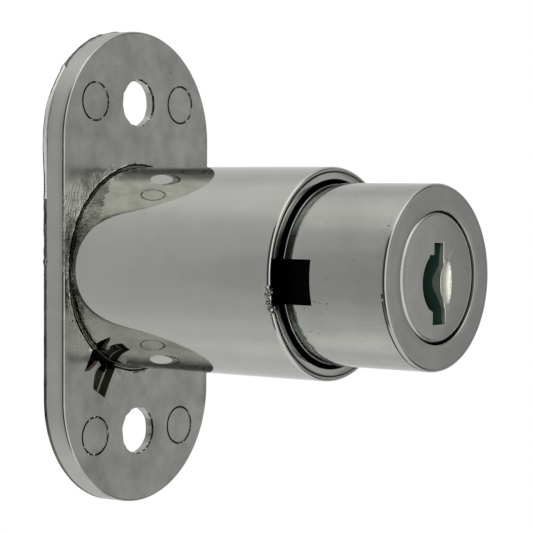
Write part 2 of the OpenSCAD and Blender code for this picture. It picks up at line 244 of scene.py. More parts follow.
def carve(body, cutter, how="DIFFERENCE"):
    cut = body.modifiers.new("cut", "BOOLEAN")
    cut.operation, cut.solver, cut.object = how, "EXACT", cutter
    bpy.context.view_layer.update()
    graph = bpy.context.evaluated_depsgraph_get()
    mesh = bpy.data.meshes.new_from_object(body.evaluated_get(graph))
    body.modifiers.clear()
    body.data = mesh
    bpy.data.objects.remove(cutter)


def carveRings(body, name, rings, how="DIFFERENCE"):
    shape = bmesh.new()
    addRings(shape, rings)
    carve(body, newPiece(name, shape), how)


def finishSurface(piece, names, choose, sharp):
    # one material for each face, smooth shading with edges sharper than that angle kept
    piece.data.materials.clear()
    for name in names:
        piece.data.materials.append(metals[name])
    for face in piece.data.polygons:
        x, y, z = face.center / mm
        face.material_index = names.index(choose(x, z, -y, face.normal))
        face.use_smooth = True
    piece.data.set_sharp_from_angle(angle=radians(sharp))
    weights = piece.modifiers.new("weights", "WEIGHTED_NORMAL")
    weights.keep_sharp = True


# ---- materials ----
# Nickel plate on zinc: a slightly warm grey metal. What differs is how each face was made.
finishes = {
    # polished on a wheel: a clear mirror with faint streaks along the tube
    "polishedNickel": {"colour": "#AEAFA9", "stain": "#AAABA5", "rough": (0.03, 0.07),
        "grain": 0.25, "grainDepth": 0.00010, "streak": 9.0, "pits": 0.003},
    # as cast and plated: softer reflections, waves left by the flow of the metal
    "castNickel": {"colour": "#ABACA6", "stain": "#8F918B", "rough": (0.13, 0.24), "grain": 0.18,
        "grainDepth": 0.0008, "pits": 0.034, "scratches": 0.25},
    # linished edge of the flange: even satin, no clear reflections
    "linishedNickel": {"colour": "#AFB0AA", "stain": "#A5A6A0", "rough": (0.26, 0.34),
        "grain": 0.12, "grainDepth": 0.0006, "streak": 6.0, "pits": 0.004},
    # turned and polished head: a little duller than the tube, scratched by use
    "headNickel": {"colour": "#A7A8A2", "stain": "#A0A19B", "rough": (0.07, 0.13), "grain": 0.22,
        "grainDepth": 0.0003, "streak": 5.0, "pits": 0.03, "scratches": 0.45},
    # face of the head and of the core: fine satin
    "faceNickel": {"colour": "#A4A5A1", "stain": "#9A9B97", "rough": (0.12, 0.18), "grain": 0.15,
        "grainDepth": 0.0003, "pits": 0.006},
    "coreNickel": {"colour": "#AAABA5", "stain": "#9E9F99", "rough": (0.10, 0.16), "grain": 0.15,
        "grainDepth": 0.0003, "pits": 0.006},
    # dish that leads the key in, burnished by it, and painted lighter than the face round it: a
    # painted highlight
    "burnishedNickelSheen": {"colour": "#D2D1C6", "stain": "#C2C1B6", "rough": (0.15, 0.24),
        "grain": 0.10, "grainDepth": 0.0006},
    # rounded rim of the core, satin from handling
    "satinNickel": {"colour": "#B3B3AA", "stain": "#A6A69E", "rough": (0.24, 0.36), "grain": 0.15,
        "grainDepth": 0.0006, "pits": 0.006},
    # raw die-cast zinc that plating hardly reaches: dull and dark, and used as painted shade in
    # bores, gaps, slots and grooves
    "rawZincInShade": {"colour": "#3A3D39", "stain": "#232623", "rough": (0.42, 0.6), "grain": 0.25,
        "grainDepth": 0.004, "pits": 0.05},
    # ledge of the flash, painted near white: a painted highlight
    "flashHighlight": {"colour": "#F6F6F2", "stain": "#D8D9D3", "rough": (0.3, 0.4),
        "grainDepth": 0.003, "pits": 0.02, "metal": 0.1},
    # torn casting flash
    "castFlash": {"colour": "#6C6E69", "stain": "#1C1E1B", "rough": (0.3, 0.55),
        "grainDepth": 0.012, "pits": 0.05},
    # fresh break of the gate: bright grains with dark pores between them
    "tornMetal": {"colour": "#A6A8A1", "stain": "#2E302D", "rough": (0.12, 0.4), "grain": 0.25,
        "grainDepth": 0.04, "pits": 0.25},
    # cast skin folded where the metal flowed round the foot: bright and dark specks
    "foldedNickel": {"colour": "#B6B7AF", "stain": "#50524C", "rough": (0.06, 0.22),
        "grain": 0.28, "grainDepth": 0.24, "upright": 2.2, "pits": 0.09},
    # corner of the foot, olive brown and dull: painted shade
    "footCornerShade": {"colour": "#55553F", "stain": "#2E2C20", "rough": (0.35, 0.5), "grain": 0.25,
        "grainDepth": 0.01, "metal": 0.3},
    # copper strike under the nickel, painted light on the wedge's upper wall: a painted highlight
    # in the copper's colour
    "copperStrikeHighlight": {"colour": "#C2AD95", "stain": "#8D7459", "rough": (0.3, 0.45),
        "grainDepth": 0.003, "metal": 0.4},
    # walls and floor of the slot, brown-black and glossy: painted shade inside the slot
    "shadedSlotWall": {"colour": "#57594A", "stain": "#34382E", "rough": (0.3, 0.45),
        "grainDepth": 0.004, "streak": 3.0, "metal": 0.35},
    "shadedSlotFloor": {"colour": "#5A665C", "stain": "#1E2E2A", "rough": (0.2, 0.4), "grain": 0.35,
        "grainDepth": 0.02, "metal": 0.35},
    # edge where wall and floor of the slot meet, painted pale: a painted highlight
    "seamHighlight": {"colour": "#DAD5BF", "stain": "#B9AE93", "rough": (0.3, 0.4),
        "grainDepth": 0.001, "metal": 0.2},
    # broached wall of the key slot where light reaches it: the lit copy of the wall
    "broachedZinc": {"colour": "#B4B9B3", "stain": "#6A706B", "rough": (0.3, 0.5), "grain": 0.12,
        "grainDepth": 0.012, "pits": 0.03, "metal": 0.4},
    # the same wall deeper down, and the inside of the core, dark green-grey: painted shade
    "slotDepth": {"colour": "#3C5C51", "stain": "#2A443C", "rough": (0.4, 0.6), "grain": 0.2,
        "grainDepth": 0.002, "metal": 0.1},
    # bright turned steel, of the bolt and the pins
    "turnedSteel": {"colour": "#A9ABAD", "stain": "#96989A", "rough": (0.16, 0.26), "grain": 0.12,
        "grainDepth": 0.0008, "streak": 0.2},
    # patented spring wire, lightly oiled
    "springWire": {"colour": "#8F9092", "stain": "#6E6F71", "rough": (0.22, 0.34), "grain": 0.1,
        "grainDepth": 0.0006, "streak": 4.0},
    # case-hardened steel, grey-brown from the furnace
    "hardenedSteel": {"colour": "#6A675F", "stain": "#504E49", "rough": (0.3, 0.42),
        "grainDepth": 0.0008, "pits": 0.004},
    # turned groove behind the head: thinly plated and dark
    "turnedBand": {"colour": "#7C827E", "stain": "#5A605C", "rough": (0.14, 0.26),
        "grainDepth": 0.0012, "streak": 0.5, "pits": 0.03},
    # rubbed corner of the head, where the plating has gone dull
    "rubbedEdge": {"colour": "#4A4B46", "stain": "#262723", "rough": (0.25, 0.45), "grain": 0.2,
        "grainDepth": 0.003, "pits": 0.1},
    # black oxide on steel, dry: almost no reflection
    "blackoxSteel": {"colour": "#0B0D0C", "stain": "#060706", "rough": (0.5, 0.65), "grain": 0.2,
        "grainDepth": 0.0008},
    # rolled brass strip, punched
    "stripBrass": {"colour": "#C6A45A", "stain": "#A98946", "rough": (0.2, 0.32), "grain": 0.1,
        "grainDepth": 0.0006, "streak": 6.0},
}


# what most of them share: fine grain without direction, no pin holes or scratches, bare
# metal; then the size of blotches and the way from one pin hole or scratch to the next, in mm
usual = {"grain": 0.3, "streak": 1.0, "upright": 1.0, "pits": 0.0, "scratches": 0.0, "metal": 1.0,
         "blotch": 4.0, "holeGap": 1.3, "scratchGap": 1.9, "holeColour": "#3A3B38"}


def metal(name, f):
    material, tree = newMaterial(name)
    place = addNode(tree, "TexCoord").outputs["Object"]
    # blotches a few millimetres across, where the plating is thinner or handled
    blotch = addNode(tree, "TexNoise", None, {
        "Vector": place, "Scale": perMm(f["blotch"]), "Detail": 5.0, "Roughness": 0.6})
    blotchMask = addNode(tree, "MapRange", None, {
        "Value": blotch, "From Min": 0.38, "From Max": 0.68})
    # grain, drawn out along the axis where the surface was polished or drawn that way
    stretch = addNode(tree, "Mapping", None, {"Vector": place,
        "Scale": (1.0, 1.0 / f["streak"], 1.0 / f["upright"])})
    grain = addNode(tree, "TexNoise", None, {
        "Vector": stretch, "Scale": perMm(f["grain"]), "Detail": 4.0,
        "Roughness": 0.55})
    # pin holes: sparse dark dots about a quarter of a millimetre across
    holes = addNode(tree, "TexVoronoi", {"feature": "F1"}, {
        "Vector": place, "Scale": perMm(f["holeGap"]), "Randomness": 1.0})
    holeMask = addNode(tree, "MapRange", None, {
        "Value": holes, "From Min": 0.03, "From Max": 0.11,
        "To Min": 1.0, "To Max": 0.0})
    # each cell of the pattern has a random colour, which picks the few that hold a pin hole
    cell = addNode(tree, "SeparateColor", None, {"Color": holes.outputs["Color"]})
    chance = addNode(tree, "Math", {"operation": "LESS_THAN"}, {
        0: cell.outputs["Red"], 1: f["pits"] * 6})
    pit = addNode(tree, "Math", {"operation": "MULTIPLY"}, {0: holeMask, 1: chance})
    colour = addNode(tree, "Mix", {"data_type": "RGBA"}, {
        "Factor_Float": blotchMask, "A_Color": linear(f["colour"]),
        "B_Color": linear(f["stain"])})
    # fine scratches, each a thin line where a drawn-out noise passes its middle value
    slanted = addNode(tree, "Mapping", None, {
        "Vector": place, "Rotation": (0.5, 0.9, 0.35), "Scale": (1.0, 0.22, 1.0)})
    waves = addNode(tree, "TexNoise", None, {
        "Vector": slanted, "Scale": perMm(f["scratchGap"]), "Detail": 0.0})
    offMiddle = addNode(tree, "Math", {"operation": "ABSOLUTE"}, {
        0: addNode(tree, "Math", {"operation": "SUBTRACT"}, {0: waves, 1: 0.5})})
    line = addNode(tree, "MapRange", None, {
        "Value": offMiddle, "From Max": 0.006, "To Min": 1.0, "To Max": 0.0})
    sparse = addNode(tree, "MapRange", None, {"Value": grain, "From Min": 0.48, "From Max": 0.62})
    scratch = addNode(tree, "Math", {"operation": "MULTIPLY"}, {0: line, 1: sparse})
    scratched = addNode(tree, "Math", {"operation": "MULTIPLY"}, {0: scratch, 1: f["scratches"]})
    worn = addNode(tree, "Math", {"operation": "MAXIMUM"}, {0: pit, 1: scratched})
    pitted = addNode(tree, "Mix", {"data_type": "RGBA"}, {
        "Factor_Float": worn, "A_Color": colour.outputs[2],
        "B_Color": linear(f["holeColour"])})
    roughness = addNode(tree, "MapRange", None, {"Value": grain, "From Min": 0.3, "From Max": 0.7,
        "To Min": f["rough"][0], "To Max": f["rough"][1]})
    depth = addNode(tree, "Math", {"operation": "SUBTRACT"}, {0: grain, 1: pit})
    bump = addNode(tree, "Bump", None, {
        "Height": depth, "Distance": f["grainDepth"] * mm, "Strength": 1.0})
    shader = addNode(tree, "BsdfPrincipled", None, {"Base Color": pitted.outputs[2],
        "Roughness": roughness, "Normal": bump,
        "Metallic": f["metal"]})
    addNode(tree, "OutputMaterial", None, {"Surface": shader})
    return material


metals = {name: metal(name, {**usual, **f}) for name, f in finishes.items()}
print("materials ready:", len(metals))


# ---- light ----
# What the polished metal mirrors: white above, below and behind, grey card round the
# sides, dark studio behind the camera, and one soft light in front of the key face.
surround = {
    # azimuth in degrees as the camera's, and brightness at eye level
    "byAzimuth": [(-180, 0.90), (-150, 0.80), (-134, 0.68), (-131, 0.67), (-128.5, 0.55),
                  (-127, 0.59), (-125, 0.52), (-114, 0.42), (-106, 0.12), (-60, 0.06),
                  (-40, 0.10), (-28, 1.5), (2, 1.5), (16, 1.0), (36, 0.62), (46, 0.52),
                  (50.3, 0.70), (53, 0.66), (57, 0.58), (59, 0.42), (64, 0.42), (76, 0.70),
                  (95, 0.78), (112, 0.72), (128, 0.74), (144, 0.78), (165, 0.85), (180, 0.90)],
    "most": 4.0,                # brightest level in that list, at least
    # share of white, by the sine of the angle above eye level
    "byHeight": [(-1.0, 1.0), (-0.825, 1.0), (-0.815, 0.84), (-0.80, 0.50), (-0.766, 0.06),
                 (-0.716, 0.12), (-0.656, 0.12), (-0.587, 0.04), (-0.5, 0.0), (0.5, 0.0),
                 (0.64, 0.0), (0.70, 0.10), (0.74, 0.40), (0.765, 0.60), (0.785, 0.50),
                 (0.80, 0.70), (0.815, 0.95), (0.825, 1.0), (1.0, 1.0)],
    "white": 1.09,
    # soft lights and dark cards: azimuth, height, half size in degrees, level
    "spots": [(2, 50, 27, 2.0), (4, -50, 24, 1.35), (51, 27, 13, 0.14), (51, -31, 16, 0.12)],
    "spotCore": 0.55,           # share of a spot's half size that has its full level
    "diffuse": 0.75,            # plain level that lights the matt parts
    # soft lamps, above left and from the right: watts, size and place in metres
    "lamps": {"keyLamp": (0.35, 0.35, (-0.25, -0.35, 0.45)),
              "fillLamp": (0.20, 0.45, (0.5, -0.3, 0.15))},
    "floorDepth": 0.28,         # metres below the lock
}


def makeWorld(s):
    world = bpy.data.worlds.new("studio")
    bpy.context.scene.world = world
    world.use_nodes = True
    tree = world.node_tree
    tree.nodes.clear()
    direction = addNode(tree, "TexCoord").outputs["Generated"]
    way = addNode(tree, "SeparateXYZ", None, {"Vector": direction})
    backwards = addNode(tree, "Math", {"operation": "MULTIPLY"}, {0: way.outputs["Y"], 1: -1.0})
    azimuth = addNode(tree, "Math", {"operation": "ARCTAN2"}, {0: way.outputs["X"], 1: backwards})
    turn = addNode(tree, "MapRange", None, {"Value": azimuth, "From Min": -pi, "From Max": pi})
    around = setRamp(addNode(tree, "ValToRGB", None, {"Fac": turn}), [
        ((a + 180) / 360, bright / s["most"]) for a, bright in s["byAzimuth"]])
    steep = addNode(tree, "MapRange", None, {"Value": way.outputs["Z"], "From Min": -1.0})
    height = setRamp(addNode(tree, "ValToRGB", None, {"Fac": steep}), [
        ((z + 1) / 2, share) for z, share in s["byHeight"]])
    mirrored = addNode(tree, "Mix", {"data_type": "FLOAT"}, {
        "Factor_Float": height, "A_Float": around,
        "B_Float": s["white"] / s["most"]})
    full = addNode(tree, "Math", {"operation": "MULTIPLY"}, {0: mirrored, 1: s["most"]})
    for a, e, size, strength in s["spots"]:
        a, e, size = radians(a), radians(e), radians(size)
        towards = (sin(a) * cos(e), -cos(a) * cos(e), sin(e))
        facing = addNode(tree, "VectorMath", {"operation": "DOT_PRODUCT"}, {
            0: direction, 1: towards})
        share = addNode(tree, "MapRange", {"interpolation_type": "SMOOTHSTEP"}, {
            "Value": facing.outputs["Value"], "From Min": cos(size),
            "From Max": cos(size * s["spotCore"])})
        full = addNode(tree, "Mix", {"data_type": "FLOAT"}, {
            "Factor_Float": share, "A_Float": full,
            "B_Float": strength})
    ray, seen = directRays(tree)
    plain = addNode(tree, "Mix", {"data_type": "FLOAT"}, {
        "Factor_Float": seen, "A_Float": s["diffuse"], "B_Float": 1.0})
    seenOrMirrored = addNode(tree, "Mix", {"data_type": "FLOAT"}, {
        "Factor_Float": ray.outputs["Is Glossy Ray"], "A_Float": plain,
        "B_Float": full})
    light = addNode(tree, "Background", None, {
        "Color": linear("#FFFFFF"), "Strength": seenOrMirrored})
    addNode(tree, "OutputWorld", None, {"Surface": light})


def makeLamp(name, power, size, place):
    data = bpy.data.lights.new(name, "AREA")
    data.energy, data.size = power, size
    lamp = bpy.data.objects.new(name, data)
    bpy.context.collection.objects.link(lamp)
    lamp.location = place
    lamp.rotation_euler = (-Vector(place)).to_track_quat("-Z", "Y").to_euler()
    lamp.visible_glossy = False     # the surround already gives the reflections


def makeFloor(s):
    shape = bmesh.new()
    addRings(shape, [circle(r, 0, 64) for r in (1500, 700, 200)])
    floor = newPiece("floor", shape)
    floor.rotation_euler = (radians(-90), 0, 0)
    floor.location = (0, 0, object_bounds()[0][2] - s["floorDepth"])
    material, tree = newMaterial("paleTable")
    ray, seen = directRays(tree)
    matt = addNode(tree, "BsdfDiffuse", None, {"Color": linear("#F4F4F2")})
    glow = addNode(tree, "Emission", None, {"Color": linear("#FFFFFF"), "Strength": seen})
    pale = addNode(tree, "AddShader", None, {0: matt, 1: glow})
    # mirrored rays pass on to the white and grey of the surround below
    clear = addNode(tree, "BsdfTransparent")
    both = addNode(tree, "MixShader", None, {
        "Fac": ray.outputs["Is Glossy Ray"], 1: pale, 2: clear})
    addNode(tree, "OutputMaterial", None, {"Surface": both})
    floor.data.materials.append(material)
    floor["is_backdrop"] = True


makeWorld(surround)
for name, (power, size, place) in surround["lamps"].items():
    makeLamp(name, power, size, place)
makeFloor(surround)
bpy.context.scene.view_settings.view_transform = "Standard"
print("light and floor placed")


# ---- housing ----
housing = {
    "plateLength": 51.6, "plateWidth": 24.0, "plateThick": 2.9, "faceWall": 1.05,
    "rimWidth": 1.5, "edgeRadius": 0.24,
    "tubeRadius": 11.0, "tubeLength": 26.6, "mouthRadius": 9.65, "tubeEdge": 0.3,
    "chamberRadius": 9.5, "landRadius": 8.05, "landBack": 12.9, "landFront": 16.45,
    "capRadius": 10.2, "capDepth": 1.4, "bossRadius": 11.6,
    "screwGap": 36.0, "screwRadius": 2.5, "burr": 0.14,
    "markX": 7.0, "markRadius": 2.05, "markDepth": 0.12,    # ejector marks
    "grooveAngle": 182.8, "grooveWidth": 4.75, "grooveRadius": 10.55,
    "slotWidth": 2.2, "slotReach": 14.8, "slotAngle": 245.5, "slotLean": 5.0,
    # outlines seen on the plate's face: the torn slot beside the foot, and the wedge next to it
    "slot": [(-7.38, -12.88), (-5.52, -13.98), (-4.76, -12.5), (-3.92, -11.05), (-3.85, -10.0),
             (-5.0, -9.2), (-6.35, -8.9), (-6.5, -9.9), (-6.05, -10.42), (-6.5, -10.62),
             (-6.85, -10.95), (-7.1, -11.4), (-7.26, -12.1)],
    "wedge": [(-8.72, -10.93), (-7.83, -10.86), (-6.79, -10.22), (-5.9, -9.4), (-6.3, -8.6),
              (-7.5, -8.75), (-8.05, -9.8)],
    # the last number is how far down the wedge's wall its painted copper highlight reaches
    "slotDepth": 1.32, "wellDepth": 2.25, "wellRadius": 12.15, "copperHighlightDepth": 0.62,
    "coarse": 0.8, "fine": 0.2,     # degrees between points, and in the gate scar
    # witness line round the tube's foot: width, distance from the tube, depth, bead outside it
    "footGap": 0.13, "footStep": 0.2, "witnessDepth": 0.28, "bead": 0.07,
    "flash": 0.13,              # casting flash on the back edge, with its nubs and wide part
    "nubs": [(113, 1.3, 1.6), (176, 2.4, 1.9)],     # angle, half width, growth
    # the pair of angles after the wide flash bound the painted highlight on the flash's ledge
    "wideFlash": (128, 18, 1.9), "flashHighlight": (113, 148), "flashFront": -2.44,
    # where the cast skin is folded: angle, half width, reach from the tube
    "folds": [(150, 50, 3.0), (206, 22, 1.1), (244, 32, 1.5)],
    "scarAngle": (191.5, 10.0), # rough gate scar on the tube's rim: middle and half width
    "scar": 0.38,
    # limits between surfaces: height of the tube's side and of the slots, radius of the
    # inside faces, of the outer part of tube and plate, and of the foot with its line
    "sideBegins": 0.3, "slotEnds": -2.6, "insideEnds": 10.3, "outerPart": 10.7, "footEnds": 11.6,
}


def stadiumPoint(c, s, inset, h):
    # where the ray from the middle along (c, s) meets the plate's outline
    half = housing["plateWidth"] / 2 - inset
    straight = (housing["plateLength"] - housing["plateWidth"]) / 2
    if abs(c) > 1e-9 and abs(half * s / c) <= straight:
        reach = half / abs(c)
    else:
        reach = straight * abs(s) + sqrt(max(half * half - (straight * c) ** 2, 0))
    return (reach * c, reach * s, h)


def housingAngles(p):
    middle, half = p["scarAngle"]
    angles, a = [], 0.0
    while a < 360 - 1e-6:
        angles.append(radians(a))
        a += p["fine"] if middle - half - 1 < a < middle + half + 1 else p["coarse"]
    return angles


ringAngles = housingAngles(housing)
ways = [(cos(a), sin(a), degrees(a)) for a in ringAngles]


def arc(r, h):
    return [(r * c, r * s, h) for c, s, _ in ways]


def stadiumRing(inset, h, shift=0.0):
    return [stadiumPoint(cos(a + shift), sin(a + shift), inset, h) for a in ringAngles]


def scarGrowth(p, angle, h):
    # how far the torn metal stands out there: short lumps of a third of a millimetre
    middle, half = p["scarAngle"]
    along = smoothStep(1.0 - abs(h - p["tubeLength"] + 0.24) / 0.5)
    lump = min(1.0, 2.2 * bumpAt(angle, middle, half)) * along
    if lump <= 0:
        return 0.0
    across = p["tubeRadius"] * radians(angle)
    tear = 0.42 + 1.1 * rough(across, 4.3, h, 0.42) + 0.7 * rough(across, 8.1, h, 0.21)
    return p["scar"] * lump * max(tear, 0.0)


def footRoom(p, c, s):
    # the rings round the foot draw together where the plate is narrow
    x, y, _ = stadiumPoint(c, s, p["edgeRadius"], 0.0)
    return min(1.0, (hypot(x, y) - p["tubeRadius"]) / 0.95)


def footStep(p, turn):
    # gap between the tube and the witness line: none at the upper left
    return p["footStep"] * (smoothStep((turn - 184) / 20) + 0.5 * smoothStep((113 - turn) / 12))


def housingRings(p):
    tube, length, edge = p["tubeRadius"], p["tubeLength"], p["tubeEdge"]
    back, capFront = -p["plateThick"], p["capDepth"] - p["plateThick"]
    rings = [arc(r, h) for r, h in [
        (p["capRadius"], back), (p["capRadius"], capFront), (p["chamberRadius"], capFront),
        (p["chamberRadius"], p["landBack"]), (p["landRadius"], p["landBack"]),
        (p["landRadius"], p["landFront"]), (p["mouthRadius"], p["landFront"]),
        (p["mouthRadius"], length - 2.0), (p["mouthRadius"], length - 0.14),
        (p["mouthRadius"] + 0.03, length - 0.05), (p["mouthRadius"] + 0.12, length)]]
    # lip with a fine turned line, rounded edge and tube, with the rough gate scar at the left
    profile = [(tube - edge - 0.30, length), (tube - edge - 0.22, length - 0.035),
               (tube - edge - 0.12, length - 0.035), (tube - edge - 0.04, length)]
    profile += [(tube - edge + edge * sin(t), length - edge + edge * cos(t))
                for t in (radians(a) for a in range(12, 91, 13))]
    profile += [(tube, length - edge - 0.07 * k) for k in range(1, 11)] + [(tube, length - 1.6)]
    for r, h in profile:
        ring = []
        for c, s, turn in ways:
            grow = scarGrowth(p, turn, h)
            ring.append(((r + grow) * c, (r + grow) * s, h + 0.3 * grow))
        rings.append(ring)
    rings += [arc(tube, h) for h in (20, 12, 5, 1.0, 0.2)]
    # witness line round the foot, painted dark as the shade in its groove, uneven in width, with a
    # raised bead outside it
    deep = -p["witnessDepth"]
    foot = [[] for k in range(8)]
    for c, s, turn in ways:
        room, off = footRoom(p, c, s), footStep(p, turn)
        x, y = tube * c, tube * s
        torn = 1.3 * bumpAt(turn, 160, 60) * (0.7 + rough(x, y, 4, 0.4))
        wide = p["footGap"] * (1 + 1.5 * off + 0.5 * rough(x, y, 3, 1.1) + torn)
        bead = p["bead"] * max(0.0, 0.75 + rough(x, y, 7, 0.9))
        end = off + wide
        for ring, (away, h) in zip(foot, [
                (0.0, 0.3 * off - 0.06), (off * 0.7, -0.03), (off + 0.01, -0.03),
                (off + 0.02, deep), (off + wide * 0.7 + 0.02, deep), (end + 0.02, -0.03),
                (end + 0.09, bead), (end + 0.19, 0.0)]):
            r = tube + away * room
            ring.append((r * c, r * s, h))
    rings += foot
    # front of the plate, slightly uneven near the foot where the metal flowed
    for t in (0.02, 0.06, 0.11, 0.17, 0.24, 0.33, 0.45, 0.6, 0.78, 1.0):
        ring = []
        for c, s, turn in ways:
            inner = tube + 0.72 * footRoom(p, c, s)
            x, y, _ = stadiumPoint(c, s, p["edgeRadius"], 0.0)
            x, y = inner * c * (1 - t) + x * t, inner * s * (1 - t) + y * t
            away = hypot(x, y) - inner
            wave = exp(-away / 1.6) * smoothStep((1 - t) * 4)
            ring.append((x, y, 0.05 * wave * rough(x, y, 0, 1.3) - 0.01 * wave))
        rings.append(ring)
    bend = p["edgeRadius"]
    for a in (radians(k) for k in (18, 36, 54, 72, 90)):
        rings.append(stadiumRing(bend * (1 - sin(a)), -bend * (1 - cos(a))))
    rings += [stadiumRing(0, h) for h in (-0.8, -1.4, -2.0, -2.3)]
    # torn flash along the parting line at the back edge
    wideAt, wideHalf, more = p["wideFlash"]
    for h, share in ((-2.46, 0.0), (-2.54, 0.85), (-2.64, 1.0), (-2.86, 0.6)):
        ring = []
        for c, s, turn in ways:
            x, y, _ = stadiumPoint(c, s, 0, h)
            torn = max(0.0, 0.35 + rough(x, y, 5, 0.9) + 0.5 * rough(x, y, h, 0.35))
            torn += sum(most * bumpAt(turn, middle, half) for middle, half, most in p["nubs"])
            torn *= 0.35 + 0.65 * smoothStep((186 - turn) / 6)
            wide = more * bumpAt(turn, wideAt, wideHalf)
            grow = p["flash"] * share * (min(torn, 2.2) + wide)
            ring.append(stadiumPoint(c, s, -grow, h))
        rings.append(ring)
    return rings + [stadiumRing(0.06, back), stadiumRing(p["rimWidth"] * 0.5, back),
                    arc(p["bossRadius"] - 0.5, back)]


def slotFrame(p, points):
    angle = radians(p["slotAngle"])
    at = (p["slotReach"] * cos(angle), p["slotReach"] * sin(angle))
    return turned(points, p["slotAngle"] - p["slotLean"], at)


def footPad(p):
    length = p["slotReach"] - p["tubeRadius"] + 0.3
    half = p["slotWidth"] / 2
    return slotFrame(p, box(-length, 1.0, -half - 3.9, half + 0.8))


def unevenCircle(r, h, at, seed, swing, steps=72):
    # circle whose radius wanders, for a burred edge
    ring = []
    for x, y, h in circle(r, h, steps):
        share = 1 + swing * rough(x, seed, y, 0.8) / r
        ring.append((at[0] + x * share, at[1] + y * share, h))
    return ring


def frontCutter(p):
    shape = bmesh.new()
    for side in (-1, 1):
        at = (0, side * p["screwGap"] / 2)
        r, burr = p["screwRadius"], p["burr"]
        addRings(shape, [unevenCircle(r, -4, at, side, 0.05),
                         unevenCircle(r, -0.2, at, side, burr / 2),
                         unevenCircle(r + 0.1, 0.02, at, side + 5, burr),
                         circle(r + burr, 0.5, 72, at)])
        for across in (-1, 1):
            # ejector mark: a shallow round print with a broken groove round it
            at = (across * p["markX"], side * p["screwGap"] / 2)
            seed, r = 10 * side + 3 * across, p["markRadius"]
            addRings(shape, [circle(r - 0.16, -0.03, 72, at), circle(r - 0.16, 0.4, 72, at)])
            groove = [[], [], [], []]
            for c, s, _ in circle(1, 0, 144):
                wander = 0.24 * rough(3 * c, 3 * s, seed, 0.7)
                low = min(-p["markDepth"] - wander - 0.1 * max(-c, 0.0), 0.02)
                for ring, (dr, h) in zip(groove, [
                        (-0.13, 0.05), (-0.05, low), (0.05, low), (0.12, 0.05)]):
                    ring.append((at[0] + (r + dr) * c, at[1] + (r + dr) * s, h))
            addRings(shape, groove, loop=True)
    # guide groove for the key, through the mouth
    half = p["grooveWidth"] / 2
    mouth = turned(box(0, p["grooveRadius"], -half, half), p["grooveAngle"])
    addRings(shape, prism(mouth, p["landFront"], p["tubeLength"] + 1))
    return newPiece("frontCutter", shape)


def shrunk(outline, by):
    # the outline drawn in towards its middle
    x0 = sum(x for x, y in outline) / len(outline)
    y0 = sum(y for x, y in outline) / len(outline)
    out = []
    for x, y in outline:
        away = hypot(x - x0, y - y0)
        out.append((x0 + (x - x0) * (1 - by / away), y0 + (y - y0) * (1 - by / away)))
    return out


def slotShape(name, outline, heights, bevel):
    # straight walls through those heights, with a bevel where the floor begins
    shape = bmesh.new()
    rings = [level(outline, h) for h in heights]
    rings.append(level(shrunk(outline, bevel), heights[-1] - bevel))
    addRings(shape, rings)
    return newPiece(name, shape)


def footCutter(p):
    # slot and wedge beside the foot; close to the tube the slot is deeper, and painted darker
    # there as shade
    cutter = slotShape("footCutter", p["slot"], (0.4, 0.14 - p["slotDepth"]), 0.14)
    well = slotShape("well", shrunk(p["slot"], 0.06), (0.5, 0.03 - p["wellDepth"]), 0.05)
    carveRings(well, "wellKeep", [circle(p["wellRadius"], h, 161) for h in (-4, 2)], "INTERSECT")
    carve(cutter, well, "UNION")
    wedge = slotShape("wedge", p["wedge"], (0.45, -p["copperHighlightDepth"], -p["wellDepth"]), 0.05)
    carve(cutter, wedge, "UNION")
    # clear of the tube's own side, so that no two cuts share a wall
    tube = p["tubeRadius"] + 0.03
    carveRings(cutter, "tubeKeep", [circle(tube, h, 160) for h in (-4.5, 2)])
    return cutter


def pocketCutter(p):
    # hollow back behind the thin face, clear of the boss and of the pad behind the slot
    shape = bmesh.new()
    shift = radians(0.37)      # keeps the cutter's corners off the edges of the back
    addRings(shape, [stadiumRing(p["rimWidth"], h, shift) for h in (-4, -p["faceWall"])])
    cutter = newPiece("pocketCutter", shape)
    carveRings(cutter, "bossKeep", [circle(p["bossRadius"], h, 160) for h in (-5, 1)])
    carveRings(cutter, "padKeep", prism(footPad(p), -5, 1))
    return cutter


def insideOutline(x, y, outline):
    inside = False
    for (x0, y0), (x1, y1) in zip(outline, outline[1:] + outline[:1]):
        if (y0 > y) != (y1 > y) and x < (x1 - x0) * (y - y0) / (y1 - y0) + x0:
            inside = not inside
    return inside


